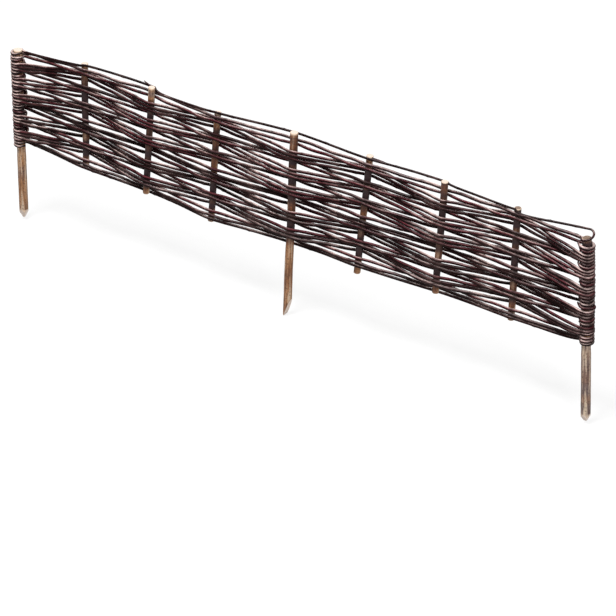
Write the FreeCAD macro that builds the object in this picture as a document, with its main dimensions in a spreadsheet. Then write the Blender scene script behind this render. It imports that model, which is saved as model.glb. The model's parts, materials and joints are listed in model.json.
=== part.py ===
"""Woven willow hurdle: nine stakes with courses of willow rods woven in and out between them.

X runs along the panel, Y from its front to its back and Z up. The origin is on the axis of the
middle ground stake at the ground line, just under the lowest rod. Lengths are in millimetres
and angles in degrees.
"""
import FreeCAD, Part
import math
import os

import Sketcher

# Sizes that the whole panel shares
SIZES = {
    "bay_1": 145.8,
    "bay_2": 132.2,
    "bay_3": 141.1,
    "bay_4": 165.6,
    "bay_5": 138.2,
    "bay_6": 155.6,
    "bay_7": 147.5,
    "bay_8": 143.0,
    "upright_diameter": 12.2,
    "rim_chamfer": 0.9,
    "rod_thickness": 5.6,
    "rod_clearance": 0.3,
    "seat_clearance": 0.25,
    "contact_length": 12.0,
    "tail_length": 24.0,
    "tail_stagger": 5.0,
    "top_rod_climb": 9.0,
    "top_rod_loop": 8.0,
    "top_rod_fall": 12.0,
}

# Every stake from left to right: how far its top leans towards +X, the heights of its top and its
# foot along the stake, the height of the weave's lower edge where it crosses the stake, and the
# gap between the courses there. Heights are from the ground line.
STAKES = {
    "left_ground_stake": {"lean": 1.2, "top": 214.0, "foot": -134.0, "low": 18.5, "gap": 0.8},
    "upright_2": {"lean": 2.0, "top": 231.0, "foot": 21.0, "low": 20.0, "gap": 2.2},
    "upright_3": {"lean": 5.2, "top": 228.0, "foot": 9.0, "low": 9.0, "gap": 2.4},
    "upright_4": {"lean": 4.9, "top": 222.0, "foot": -1.0, "low": 7.0, "gap": 2.7},
    "middle_ground_stake": {"lean": 2.5, "top": 231.0, "foot": -140.0, "low": 2.0, "gap": 2.9},
    "upright_6": {"lean": 5.7, "top": 235.0, "foot": -3.0, "low": 13.0, "gap": 2.6},
    "upright_7": {"lean": 3.3, "top": 232.0, "foot": 12.0, "low": 11.0, "gap": 2.1},
    "upright_8": {"lean": 1.1, "top": 227.0, "foot": 11.0, "low": 20.0, "gap": 1.6},
    "right_ground_stake": {"lean": -2.7, "top": 214.0, "foot": -134.0, "low": 16.0, "gap": 0.8},
}

# The three long stakes that are driven into the soil have a pointed foot
GROUND_STAKES = {
    "left_ground_stake": {"diameter": 16.8, "woven_diameter": 16.0, "point": 19.0, "tip": 2.4},
    "middle_ground_stake": {"diameter": 15.0, "woven_diameter": 14.4, "point": 36.0, "tip": 4.0},
    "right_ground_stake": {"diameter": 16.8, "woven_diameter": 16.0, "point": 14.0, "tip": 5.0},
}

# Sides of a stake's pole, which stand for its round
STAKE_SIDES = 12
# Axe cuts round a four-sided point; the middle stake has one slanting cut instead
POINT_SIDES = 4
SLANT_CUT_STAKE = "middle_ground_stake"

# Rods lying on each other in each course, from the lowest course to the highest. The courses of one
# group pass each stake on the same side, and the next group passes it on the other.
COURSE_GROUPS = ((1, 2), (3,), (2,), (3,), (2, 2), (3,), (2,), (3,), (2,), (3,), (2, 1))
COURSE_RODS = [rods for group in COURSE_GROUPS for rods in group]
COURSE_TURNS = [turn for turn, group in enumerate(COURSE_GROUPS) for _ in group]
ROD_SIDES = 6
# Half the corner of the eight-sided path on which a rod turns round an end stake
TURN_ANGLE = math.radians(22.5)
TURN_CORNERS = 4
TAIL_STEPS = 3
# How near a face lies to a height to count as lying at it
LEVEL_TOLERANCE = 0.01

doc = FreeCAD.newDocument("willow_hurdle")
sheet = doc.addObject("Spreadsheet::Sheet", "sizes")


def fill_sheet():
    """Write every driving dimension to the sheet under its own alias."""
    cells = dict(SIZES)
    for table in (STAKES, GROUND_STAKES):
        for stake, values in table.items():
            for quality, number in values.items():
                cells[f"{stake}_{quality}"] = number
    for row, (alias, number) in enumerate(cells.items(), start=1):
        sheet.set(f"A{row}", alias)
        sheet.set(f"B{row}", str(number))
        sheet.setAlias(f"B{row}", alias)
    doc.recompute()


def size(alias):
    """Read one driving dimension from the sheet."""
    return float(sheet.get(alias))


def origin_plane(body, role):
    """Find one of a body's own origin planes by its role."""
    return next(plane for plane in body.Origin.OriginFeatures if plane.Role == role)


def outline_sketch(body, name, corners):
    """Draw a closed outline on the body's XZ plane.

    Each corner is a pair of formulas: its distance from the stake's axis and its height.
    """
    sketch = body.newObject("Sketcher::SketchObject", name)
    sketch.AttachmentSupport = [(origin_plane(body, "XZ_Plane"), "")]
    sketch.MapMode = "FlatFace"
    points = [
        FreeCAD.Vector(sheet.evalExpression(across), sheet.evalExpression(height), 0)
        for across, height in corners
    ]
    for start, end in zip(points, points[1:] + points[:1]):
        sketch.addGeometry(Part.LineSegment(start, end), False)
    count = len(points)
    for index in range(count):
        previous = (index - 1) % count
        sketch.addConstraint(Sketcher.Constraint("Coincident", previous, 2, index, 1))
    for index, (point, corner) in enumerate(zip(points, corners)):
        for kind, number, formula in zip(("DistanceX", "DistanceY"), point, corner):
            place = sketch.addConstraint(Sketcher.Constraint(kind, -1, 1, index, 1, number))
            sketch.setExpression(f"Constraints[{place}]", formula)
    return sketch


def stake_body(name):
    """Start a stake's body, leaning in its place along the panel."""
    body = doc.addObject("PartDesign::Body", name)
    body.Label = name
    lean = FreeCAD.Rotation(FreeCAD.Vector(0, 1, 0), size(f"{name}_lean"))
    body.Placement = FreeCAD.Placement(FreeCAD.Vector(stake_foot_x(name), 0, 0), lean)
    return body


def add_pole(body, name, diameter, low, high):
    """Add a many-sided length of pole to a stake, between two heights given as formulas."""
    pole = body.newObject("PartDesign::AdditivePrism", name)
    pole.Polygon = STAKE_SIDES
    pole.setExpression("Circumradius", f"{diameter} / 2")
    pole.setExpression("Height", f"{high} - ({low})")
    pole.setExpression("Placement.Base.z", low)
    return pole


def break_rims(body, name, heights):
    """Chamfer the rims of a stake's sawn ends, which lie at the given heights."""
    doc.recompute()
    base = body.Tip
    ends = [
        f"Face{number}"
        for number, face in enumerate(base.Shape.Faces, start=1)
        if any(abs(face.BoundBox.ZMin - level) + abs(face.BoundBox.ZMax - level) < LEVEL_TOLERANCE
               for level in heights)
    ]
    rims = body.newObject("PartDesign::Chamfer", f"{name}_rims")
    rims.Base = (base, ends)
    rims.setExpression("Size", "sizes.rim_chamfer")


def add_upright(name):
    """Build one short stake: a straight stick with both ends sawn square and their rims broken."""
    body = stake_body(name)
    low = f"sizes.{name}_foot"
    high = f"sizes.{name}_top"
    add_pole(body, f"{name}_pole", "sizes.upright_diameter", low, high)
    break_rims(body, name, [sheet.evalExpression(low), sheet.evalExpression(high)])
    return body


def add_ground_stake(name):
    """Build one long stake: a woven length, a round driven length below it and a cut point."""
    body = stake_body(name)
    high = f"sizes.{name}_top"
    low = f"sizes.{name}_foot"
    shoulder = f"{low} + sizes.{name}_point"
    add_pole(body, f"{name}_woven", f"sizes.{name}_woven_diameter", "0", high)
    driven = body.newObject("PartDesign::AdditiveCylinder", f"{name}_driven")
    driven.setExpression("Radius", f"sizes.{name}_diameter / 2")
    driven.setExpression("Height", f"-({shoulder})")
    driven.setExpression("Placement.Base.z", shoulder)
    add_pole(body, f"{name}_blank", f"sizes.{name}_diameter", low, shoulder)
    break_rims(body, name, [sheet.evalExpression(high)])
    radius = f"sizes.{name}_diameter / 2"
    blunt = f"sizes.{name}_tip / 2"
    if name == SLANT_CUT_STAKE:
        blunt = f"sizes.{name}_tip - {radius}"
    cut_point(body, name, [(blunt, low), (radius, low), (radius, shoulder)])
    return body


def cut_point(body, name, corners):
    """Cut the flats of a stake's point, each across the whole stake and down to its blunt tip."""
    doc.recompute()
    blank_volume = body.Shape.Volume
    waste = outline_sketch(body, f"{name}_waste", corners)
    flat = body.newObject("PartDesign::Pocket", f"{name}_flat")
    flat.Profile = waste
    flat.Type = "ThroughAll"
    flat.Midplane = True
    doc.recompute()
    if name != SLANT_CUT_STAKE:
        sides = body.newObject("PartDesign::PolarPattern", f"{name}_point_sides")
        sides.Originals = [flat]
        sides.Axis = (waste, ["V_Axis"])
        sides.Angle = 360
        sides.Occurrences = POINT_SIDES
        body.Tip = sides
        doc.recompute()
    if not body.Shape.Volume < blank_volume:
        raise RuntimeError(f"{name}: the point was not cut")


def stake_foot_x(name):
    """Give a stake's place along the panel at the ground line, measured from the middle stake."""
    order = list(STAKES)
    bays = [size(f"bay_{number}") for number in range(1, len(order))]
    along = [sum(bays[:index]) for index in range(len(order))]
    return along[order.index(name)] - along[order.index("middle_ground_stake")]


def stake_x(name, height):
    """Give the place of a leaning stake's axis along the panel at a height."""
    return stake_foot_x(name) + height * math.tan(math.radians(size(f"{name}_lean")))


def stake_radius(name):
    """Give the radius of a stake's woven length."""
    if name in GROUND_STAKES:
        return size(f"{name}_woven_diameter") / 2
    return size("upright_diameter") / 2


def rod_height(course, rod, rods_below, stake_index):
    """Give the height of a rod's centre where it passes a stake.

    The rods of a course lie on each other, and the courses stand a little apart. The top rod
    climbs from left to right and springs over the last stake in a loop.
    """
    order = list(STAKES)
    stake = order[stake_index]
    thickness = size("rod_thickness")
    stacked = (rods_below + rod) * (thickness + size("rod_clearance"))
    height = size(f"{stake}_low") + stacked + course * size(f"{stake}_gap") + thickness / 2
    if course == len(COURSE_RODS) - 1:
        left, right = stake_foot_x(order[0]), stake_foot_x(order[-1])
        height += size("top_rod_climb") * (stake_foot_x(stake) - left) / (right - left)
        if stake == order[-1]:
            height += size("top_rod_loop")
    return height


def turn_points(stake, height, side, inward, fall):
    """Give the corners of a rod's turn round an end stake, from its woven side to its tail side.

    Side is -1 in front of the stake and 1 behind it, inward is 1 or -1, towards the panel, and fall
    is how far the rod sinks from corner to corner.
    """
    reach = seat_reach(stake)
    near = reach * math.tan(TURN_ANGLE)
    corners = [(near, 1), (reach, near / reach), (reach, -near / reach), (near, -1)]
    return [
        FreeCAD.Vector(
            stake_x(stake, height) - inward * out, side * across * reach, height - step * fall,
        )
        for step, (out, across) in enumerate(corners)
    ]


def seat_reach(stake):
    """Give the distance from a stake's axis to the centre of a rod that rests against it."""
    half_width = size("rod_thickness") / math.sqrt(3)
    return stake_radius(stake) + half_width + size("seat_clearance")


def rod_path(course, rod, rods_below):
    """Give the corners of a rod's path: a tail, a turn, the weave, a turn and a tail."""
    order = list(STAKES)
    heights = [rod_height(course, rod, rods_below, index) for index in range(len(order))]
    first = COURSE_TURNS[course]
    sides = [1 if (first + index) % 2 == 0 else -1 for index in range(len(order))]
    half_contact = size("contact_length") / 2
    points = []
    for index, (stake, height, side) in enumerate(zip(order, heights, sides)):
        x = stake_x(stake, height)
        y = side * seat_reach(stake)
        if 0 < index < len(order) - 1:
            points.append(FreeCAD.Vector(x - half_contact, y, height))
            points.append(FreeCAD.Vector(x + half_contact, y, height))
            continue
        inward = 1 if index == 0 else -1
        tail = size("tail_length") + size("tail_stagger") * ((rods_below + rod) % TAIL_STEPS)
        neighbour = index + inward
        near = seat_reach(stake) * math.tan(TURN_ANGLE)
        run = abs(stake_x(order[neighbour], heights[neighbour]) - x) - half_contact + near
        slope = (heights[neighbour] - height) / run
        contact_height = height + slope * (half_contact + near)
        turn = [FreeCAD.Vector(x + inward * half_contact, y, contact_height)]
        loops = course == len(COURSE_RODS) - 1 and stake == order[-1]
        fall = size("top_rod_fall") / TURN_CORNERS if loops else 0.0
        turn += turn_points(stake, height, side, inward, fall)
        tail_height = turn[-1].z - fall if loops else height + slope * (tail + near)
        turn.append(FreeCAD.Vector(x + inward * tail, -y, tail_height))
        points += reversed(turn) if index == 0 else turn
    return points


def add_rod(name, points):
    """Build one rod: a six-sided section, flat side up, carried along its path."""
    path = doc.addObject("Part::Polygon", f"{name}_path")
    path.Nodes = points
    path.Close = False
    section = doc.addObject("Part::RegularPolygon", f"{name}_section")
    section.Polygon = ROD_SIDES
    section.setExpression("Circumradius", "sizes.rod_thickness / sqrt(3)")
    sideways = FreeCAD.Vector(0, 1, 0)
    upward = FreeCAD.Vector(0, 0, 1)
    facing = FreeCAD.Rotation(sideways, upward, points[1] - points[0], "ZXY")
    section.Placement = FreeCAD.Placement(points[0], facing)
    rod = doc.addObject("Part::Sweep", name)
    rod.Label = name
    rod.Sections = [section]
    rod.Spine = (path, [])
    rod.Solid = True
    rod.Frenet = False
    rod.Transition = "Right corner"
    return rod


def add_courses():
    """Build the rods of every course, from the ground up."""
    rods = []
    for course, count in enumerate(COURSE_RODS):
        rods_below = sum(COURSE_RODS[:course])
        for rod in range(count):
            name = f"course_{course + 1:02d}_rod_{rod + 1}"
            rods.append(add_rod(name, rod_path(course, rod, rods_below)))
    return rods


def check_document(pieces):
    """Stop if any object failed or a piece is not one sound solid."""
    for item in doc.Objects:
        if "Invalid" in item.State or "Error" in item.State:
            raise RuntimeError(f"{item.Name}: {item.State}")
    for piece in pieces:
        shape = piece.Shape
        if shape.isNull() or not shape.isValid() or len(shape.Solids) != 1:
            raise RuntimeError(f"{piece.Label}: not one sound solid")


def export(pieces):
    """Write each piece to its own file."""
    os.makedirs("parts", exist_ok=True)
    for piece in pieces:
        piece.Shape.exportStep(f"parts/{piece.Label}.step")


fill_sheet()
parts = []
for stake_name in STAKES:
    add_stake = add_ground_stake if stake_name in GROUND_STAKES else add_upright
    parts.append(add_stake(stake_name))
parts += add_courses()
doc.recompute()
check_document(parts)
export(parts)
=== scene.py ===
"""Woven willow hurdle: round willow rods and bark-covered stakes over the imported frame, in a studio.

Every rod and stake follows its own solid in the frame: a rod's line is read from the solid's rings
and a stake's axis, thickness and point from its faces. Lengths are metres unless a name says mm, and
a rate is a number of waves to the metre.
"""
import json
import logging
import math
import random
from dataclasses import dataclass, field
from enum import Enum, IntEnum

import bmesh
import bpy
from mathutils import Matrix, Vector, noise


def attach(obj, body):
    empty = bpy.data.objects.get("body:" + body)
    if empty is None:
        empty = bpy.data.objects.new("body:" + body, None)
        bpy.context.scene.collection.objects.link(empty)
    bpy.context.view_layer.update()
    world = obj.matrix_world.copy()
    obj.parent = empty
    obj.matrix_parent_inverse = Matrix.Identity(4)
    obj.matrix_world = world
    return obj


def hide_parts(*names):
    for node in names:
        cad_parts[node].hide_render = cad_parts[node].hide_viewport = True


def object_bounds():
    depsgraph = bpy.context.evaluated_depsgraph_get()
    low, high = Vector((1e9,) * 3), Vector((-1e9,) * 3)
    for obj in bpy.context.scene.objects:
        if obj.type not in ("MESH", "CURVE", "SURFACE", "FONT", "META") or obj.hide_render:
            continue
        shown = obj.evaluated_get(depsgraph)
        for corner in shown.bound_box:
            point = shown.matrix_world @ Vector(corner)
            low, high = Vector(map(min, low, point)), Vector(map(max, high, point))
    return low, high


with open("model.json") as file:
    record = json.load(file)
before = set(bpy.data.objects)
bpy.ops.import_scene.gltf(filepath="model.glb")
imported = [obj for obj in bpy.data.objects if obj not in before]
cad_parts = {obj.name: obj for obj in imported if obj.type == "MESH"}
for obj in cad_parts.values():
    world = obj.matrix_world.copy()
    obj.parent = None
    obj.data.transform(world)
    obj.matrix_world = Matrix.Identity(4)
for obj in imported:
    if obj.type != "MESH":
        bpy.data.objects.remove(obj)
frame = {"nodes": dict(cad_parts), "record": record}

MM = 0.001
CAD_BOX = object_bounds()
LOG = logging.getLogger("willow_hurdle")
UP = Vector((0, 0, 1))

# Sockets of a colour Mix node
MIX_FACTOR, MIX_A, MIX_B, MIX_RESULT = 0, 6, 7, 2

# Scale of a ring texture whose rings lie a metre apart
RING_SCALE = 0.314

# Steps from a rod's seed to the seeds of its skin and of its places at the stakes
SKIN_SEED, PLACE_SEED = 1000, 2000

# Where on the smooth noise a stick may start, so that no two are alike
DRIFT_RANGE = (0, 50)

# Half lengths past which a bud or knot no longer swells the skin
BUMP_REACH = 3

# Cosine past which two directions count as one
SAME_WAY = 0.999


class RodTone(Enum):
    """The colours that brown willow dries to, as places on the bark's range of tones."""

    UMBER = 0.08
    PLUM = 0.36
    RUSSET = 0.66
    ASH = 0.95


class ButtEnd(Enum):
    """Which end of a rod is its thick butt."""

    LEFT = 0
    RIGHT = 1


class StakeFoot(Enum):
    """How a stake ends below the weave."""

    SAWN = "sawn"
    POINTED = "pointed"


class StickSlot(IntEnum):
    """The material slots of a stick's mesh. A rod has the first two."""

    BARK = 0
    CUT = 1
    OLD_CUT = 2
    AXED = 3


class NoiseRow(Enum):
    """Rows of the smooth noise, one for each trait that varies along a stick."""

    ROD_SWAY = 0.0
    ROD_SWELL = 3.1
    ROD_TONE = 9.0
    STAKE_TONE = 2.0
    STAKE_SWAY = 6.0


def linear(hex_colour: str) -> tuple[float, float, float, float]:
    """Turn an sRGB hex colour to a linear one.

    Args:
        hex_colour: six hex digits after a hash sign.

    Returns:
        Linear red, green and blue, with an alpha of 1.
    """
    channels = [int(hex_colour[place:place + 2], 16) / 255 for place in (1, 3, 5)]
    red, green, blue = (
        value / 12.92 if value <= 0.04045 else ((value + 0.055) / 1.055) ** 2.4
        for value in channels
    )
    return red, green, blue, 1.0


def add_node(
    tree: bpy.types.NodeTree,
    kind: str,
    settings: dict[str, object] | None = None,
    inputs: dict[str | int, object] | None = None,
    links: dict[str | int, bpy.types.NodeSocket] | None = None,
    stops: list[tuple[float, str]] | None = None,
) -> bpy.types.Node:
    """Add a shader node with its settings and links.

    Args:
        tree: the material's node tree.
        kind: the node's type.
        settings: values of the node's own properties.
        inputs: values of its unlinked sockets, by name or number.
        links: sockets that feed it, by the name or number of its input.
        stops: places and hex colours of a colour ramp.

    Returns:
        The new node.
    """
    made = tree.nodes.new(kind)
    for name, value in (settings or {}).items():
        setattr(made, name, value)
    for socket, value in (inputs or {}).items():
        made.inputs[socket].default_value = value
    for socket, source in (links or {}).items():
        tree.links.new(source, made.inputs[socket])
    for number, (place, colour) in enumerate(stops or []):
        ramp = made.color_ramp.elements
        stop = ramp[number] if number < len(ramp) else ramp.new(place)
        stop.position = place
        stop.color = linear(colour)
    return made


def new_material(name: str) -> tuple[bpy.types.Material, bpy.types.NodeTree, bpy.types.Node]:
    """Start a material with an empty node tree and its output.

    Args:
        name: the material's name.

    Returns:
        The material, its node tree and its output node.
    """
    material = bpy.data.materials.new(name)
    material.use_nodes = True
    tree = material.node_tree
    tree.nodes.clear()
    return material, tree, add_node(tree, "ShaderNodeOutputMaterial")


@dataclass(frozen=True)
class Slope:
    """A value that goes evenly from one end to another while a pattern goes from low to high."""

    low: float
    high: float
    at_low: float
    at_high: float

    def sockets(self) -> dict[str, float]:
        """Give the slope as a Map Range node's inputs."""
        names = ("From Min", "From Max", "To Min", "To Max")
        return dict(zip(names, (self.low, self.high, self.at_low, self.at_high)))


@dataclass(frozen=True)
class ColourLayer:
    """A colour that lies over the bark in the share that a pattern gives it."""

    colour: str
    share: Slope

    def lay(
        self, tree: bpy.types.NodeTree, ground: bpy.types.NodeSocket,
        pattern: bpy.types.NodeSocket, held_to: bpy.types.NodeSocket | None = None,
    ) -> bpy.types.NodeSocket:
        """Lay the colour over what is there.

        Args:
            tree: the material's node tree.
            ground: the colour so far.
            pattern: the pattern that the layer follows.
            held_to: a mark of the mesh that the layer keeps to.

        Returns:
            The colour with this layer on it.
        """
        share = add_node(
            tree, "ShaderNodeMapRange", inputs=self.share.sockets(), links={"Value": pattern},
        ).outputs["Result"]
        if held_to is not None:
            share = add_node(
                tree, "ShaderNodeMath", {"operation": "MULTIPLY", "use_clamp": True},
                links={0: share, 1: held_to},
            ).outputs["Value"]
        return add_node(
            tree, "ShaderNodeMix", {"data_type": "RGBA"}, inputs={MIX_B: linear(self.colour)},
            links={MIX_FACTOR: share, MIX_A: ground},
        ).outputs[MIX_RESULT]


@dataclass(frozen=True)
class Grain:
    """A smooth pattern drawn out along a stick."""

    width_mm: float
    length_mm: float
    detail: float
    roughness: float

    def draw(
        self, tree: bpy.types.NodeTree, place: bpy.types.NodeSocket,
    ) -> bpy.types.NodeSocket:
        """Draw the pattern.

        Args:
            tree: the material's node tree.
            place: the places round and along the stick, in metres.

        Returns:
            The pattern's height, about a half on average.
        """
        stretched = add_node(
            tree, "ShaderNodeMapping",
            inputs={"Scale": (1 / (self.width_mm * MM), 1 / (self.length_mm * MM), 1)},
            links={"Vector": place},
        ).outputs["Vector"]
        return add_node(
            tree, "ShaderNodeTexNoise",
            inputs={"Scale": 1.0, "Detail": self.detail, "Roughness": self.roughness},
            links={"Vector": stretched},
        ).outputs["Fac"]


@dataclass(frozen=True)
class DriedWillowBark:
    """Brown willow, cut with its bark on and dried: thin, satin, plum-brown skin.

    The skin shrinks on the drying wood, so fine lengthwise wrinkles break up its shine, and rods of
    one bundle dry to anything from umber to russet and grey. Their upper sides carry a painted
    highlight, and their undersides and wrinkles carry painted shade.
    """

    name: str = "brown_willow_bark_dried"
    tones: tuple[str, ...] = ("#2b1517", "#4c2227", "#6e2b35", "#604a4b")
    # The real wrinkles are under half a millimetre wide, and are drawn coarser to show at this size
    wrinkles: Grain = Grain(width_mm=1.9, length_mm=13.0, detail=4.0, roughness=0.6)
    wrinkle_depth_mm: float = 0.35
    wrinkle_strength: float = 0.55
    bloom_length_mm: float = 60.0
    lenticel_mm: float = 2.6
    # Painted shade: near black over the rods' undersides, where the painted light mark is low
    painted_underside_shade: ColourLayer = ColourLayer("#060101", Slope(0.15, 0.85, 0.97, 0.0))
    bloom: ColourLayer = ColourLayer("#91726e", Slope(0.48, 0.72, 0.0, 0.25))
    lenticels: ColourLayer = ColourLayer("#91726e", Slope(0.10, 0.16, 0.35, 0.0))
    # Painted highlight: pale pink over the upper sides, where the painted light mark meets the bloom
    # patches
    painted_highlight: ColourLayer = ColourLayer("#dbc0b9", Slope(0.36, 0.58, 0.0, 0.9))
    # Painted shade: near black in the lengthwise wrinkles, laid over the highlight
    painted_wrinkle_shade: ColourLayer = ColourLayer("#1a0a08", Slope(0.38, 0.52, 0.9, 0.0))
    bud_scale: str = "#251513"
    satin: Slope = Slope(0.3, 0.7, 0.32, 0.52)
    # Specular level follows the painted light mark and is low on the undersides, so that the painted
    # shade stays dark
    shine: Slope = Slope(0.2, 0.9, 0.03, 0.4)
    ior: float = 1.48

    def build(self) -> bpy.types.Material:
        """Make the material.

        Returns:
            The bark, which reads the rod's tone, buds and painted light and shade from its mesh.
        """
        material, tree, output = new_material(self.name)
        place = add_node(tree, "ShaderNodeTexCoord").outputs["UV"]
        tone, bud, painted_light = (
            add_node(tree, "ShaderNodeAttribute", {"attribute_name": mark}).outputs["Fac"]
            for mark in ("tone", "bud", "painted_light")
        )
        steps = len(self.tones) - 1
        colour = add_node(
            tree, "ShaderNodeValToRGB", links={"Fac": tone},
            stops=[(index / steps, tint) for index, tint in enumerate(self.tones)],
        ).outputs["Color"]
        wrinkles = self.wrinkles.draw(tree, place)
        patches = add_node(
            tree, "ShaderNodeTexNoise",
            inputs={"Scale": 1 / (self.bloom_length_mm * MM), "Detail": 3.0, "Roughness": 0.55},
            links={"Vector": place},
        ).outputs["Fac"]
        pores = add_node(
            tree, "ShaderNodeTexVoronoi", {"feature": "F1"},
            inputs={"Scale": 1 / (self.lenticel_mm * MM), "Randomness": 1.0},
            links={"Vector": place},
        ).outputs["Distance"]
        # Painted highlight share: the painted light mark, broken up by the bloom patches
        painted_highlight_share = add_node(
            tree, "ShaderNodeMath", {"operation": "MULTIPLY"}, links={0: painted_light, 1: patches},
        ).outputs["Value"]
        for layer, pattern in (
            (self.painted_underside_shade, painted_light), (self.bloom, patches), (self.lenticels, pores),
            (self.painted_highlight, painted_highlight_share), (self.painted_wrinkle_shade, wrinkles),
        ):
            colour = layer.lay(tree, colour, pattern)
        colour = add_node(
            tree, "ShaderNodeMix", {"data_type": "RGBA"}, inputs={MIX_B: linear(self.bud_scale)},
            links={MIX_FACTOR: bud, MIX_A: colour},
        ).outputs[MIX_RESULT]
        satin, shine = (
            add_node(
                tree, "ShaderNodeMapRange", inputs=slope.sockets(), links={"Value": pattern},
            ).outputs["Result"]
            for slope, pattern in ((self.satin, patches), (self.shine, painted_light))
        )
        relief = add_node(
            tree, "ShaderNodeBump",
            inputs={"Strength": self.wrinkle_strength, "Distance": self.wrinkle_depth_mm * MM},
            links={"Height": wrinkles},
        ).outputs["Normal"]
        skin = add_node(
            tree, "ShaderNodeBsdfPrincipled", inputs={"IOR": self.ior},
            links={
                "Base Color": colour, "Roughness": satin, "Specular IOR Level": shine,
                "Normal": relief,
            },
        )
        tree.links.new(skin.outputs["BSDF"], output.inputs["Surface"])
        return material


@dataclass(frozen=True)
class WeatheredStakeBark:
    """Willow sticks with their older bark on: dull, furrowed lengthwise, rubbed pale in places.

    The furrows hold the dark and the ridges between them weather to tan and grey, with dark spots
    on the knots. Where the bark has peeled, the wood shows pale.
    """

    name: str = "willow_stake_bark_weathered"
    tones: tuple[str, ...] = ("#2c191c", "#82502f", "#b07e55", "#84706a")
    # Furrows, streaks and specks are drawn as coarse as they need to be to show at this size
    furrows: Grain = Grain(width_mm=1.6, length_mm=30.0, detail=5.0, roughness=0.62)
    furrow_depth_mm: float = 0.7
    furrow_strength: float = 0.7
    streaks: Grain = Grain(width_mm=4.5, length_mm=60.0, detail=1.5, roughness=0.45)
    speck_mm: float = 3.6
    streaked: ColourLayer = ColourLayer("#3e2624", Slope(0.34, 0.5, 0.55, 0.0))
    furrowed: ColourLayer = ColourLayer("#2e1b19", Slope(0.28, 0.46, 0.7, 0.0))
    rub_and_highlight: ColourLayer = ColourLayer("#d6c0a8", Slope(0.5, 0.68, 0.0, 1.1))
    specked: ColourLayer = ColourLayer("#2e1b19", Slope(0.36, 0.46, 0.6, 0.0))
    knot: str = "#33241c"
    peeled: str = "#e0c8b0"
    roughness: float = 0.72
    ior: float = 1.46

    def build(self) -> bpy.types.Material:
        """Make the material.

        Returns:
            The bark, which reads the stake's tone, knots and peeled rims from its mesh.
        """
        material, tree, output = new_material(self.name)
        place = add_node(tree, "ShaderNodeTexCoord").outputs["UV"]
        tone, bud, peel = (
            add_node(tree, "ShaderNodeAttribute", {"attribute_name": mark}).outputs["Fac"]
            for mark in ("tone", "bud", "peel")
        )
        steps = len(self.tones) - 1
        colour = add_node(
            tree, "ShaderNodeValToRGB", links={"Fac": tone},
            stops=[(index / steps, tint) for index, tint in enumerate(self.tones)],
        ).outputs["Color"]
        furrows = self.furrows.draw(tree, place)
        streaks = self.streaks.draw(tree, place)
        specks = add_node(
            tree, "ShaderNodeTexNoise",
            inputs={"Scale": 1 / (self.speck_mm * MM), "Detail": 2.0, "Roughness": 0.5},
            links={"Vector": place},
        ).outputs["Fac"]
        colour = self.streaked.lay(tree, colour, streaks)
        colour = self.furrowed.lay(tree, colour, furrows)
        colour = self.rub_and_highlight.lay(tree, colour, streaks, held_to=tone)
        colour = self.specked.lay(tree, colour, specks)
        for mark, tint in ((bud, self.knot), (peel, self.peeled)):
            colour = add_node(
                tree, "ShaderNodeMix", {"data_type": "RGBA"}, inputs={MIX_B: linear(tint)},
                links={MIX_FACTOR: mark, MIX_A: colour},
            ).outputs[MIX_RESULT]
        relief = add_node(
            tree, "ShaderNodeBump",
            inputs={"Strength": self.furrow_strength, "Distance": self.furrow_depth_mm * MM},
            links={"Height": furrows},
        ).outputs["Normal"]
        skin = add_node(
            tree, "ShaderNodeBsdfPrincipled", inputs={"Roughness": self.roughness, "IOR": self.ior},
            links={"Base Color": colour, "Normal": relief},
        )
        tree.links.new(skin.outputs["BSDF"], output.inputs["Surface"])
        return material


@dataclass(frozen=True)
class CutWillow:
    """Bare willow where a saw or an axe went through: cream wood with faint rings and fibres.

    The fresh face is the palest thing on the hurdle, with a little pink in its darker rings.
    """

    name: str = "willow_wood_cut"
    early: str = "#decfc2"
    late: str = "#b99a85"
    ring_mm: float = 1.3
    # Real fibres are a few hundredths of a millimetre, and are drawn coarser to show at this size
    fibre_mm: float = 0.7
    fibre_depth_mm: float = 0.2
    fibre_strength: float = 0.3
    roughness: float = 0.68
    ior: float = 1.45

    @classmethod
    def weathered(cls) -> "CutWillow":
        """Give the finish of old cuts and the rods' trimmed tails, which have greyed in the open."""
        return cls(name="willow_wood_cut_weathered", early="#8a7362", late="#4d3a32")

    @classmethod
    def axed(cls) -> "CutWillow":
        """Give the finish of the stakes' points, whose long axe cuts lay the white sapwood bare."""
        return cls(name="willow_sapwood_axed", early="#f6e6da", late="#dcbfa9")

    def build(self) -> bpy.types.Material:
        """Make the material.

        Returns:
            The cut wood, whose rings lie round the middle of the cut.
        """
        material, tree, output = new_material(self.name)
        place = add_node(tree, "ShaderNodeTexCoord").outputs["UV"]
        rings = add_node(
            tree, "ShaderNodeTexWave", {"wave_type": "RINGS", "rings_direction": "Z"},
            inputs={"Scale": RING_SCALE / (self.ring_mm * MM), "Distortion": 2.0, "Detail": 2.0},
            links={"Vector": place},
        ).outputs["Fac"]
        fibres = add_node(
            tree, "ShaderNodeTexNoise",
            inputs={"Scale": 1 / (self.fibre_mm * MM), "Detail": 3.0, "Roughness": 0.6},
            links={"Vector": place},
        ).outputs["Fac"]
        shade = add_node(
            tree, "ShaderNodeMath", {"operation": "MULTIPLY"}, links={0: rings, 1: fibres},
        ).outputs["Value"]
        colour = add_node(
            tree, "ShaderNodeMix", {"data_type": "RGBA"},
            inputs={MIX_A: linear(self.early), MIX_B: linear(self.late)},
            links={MIX_FACTOR: shade},
        ).outputs[MIX_RESULT]
        relief = add_node(
            tree, "ShaderNodeBump",
            inputs={"Strength": self.fibre_strength, "Distance": self.fibre_depth_mm * MM},
            links={"Height": fibres},
        ).outputs["Normal"]
        face = add_node(
            tree, "ShaderNodeBsdfPrincipled", inputs={"Roughness": self.roughness, "IOR": self.ior},
            links={"Base Color": colour, "Normal": relief},
        )
        tree.links.new(face.outputs["BSDF"], output.inputs["Surface"])
        return material


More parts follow.
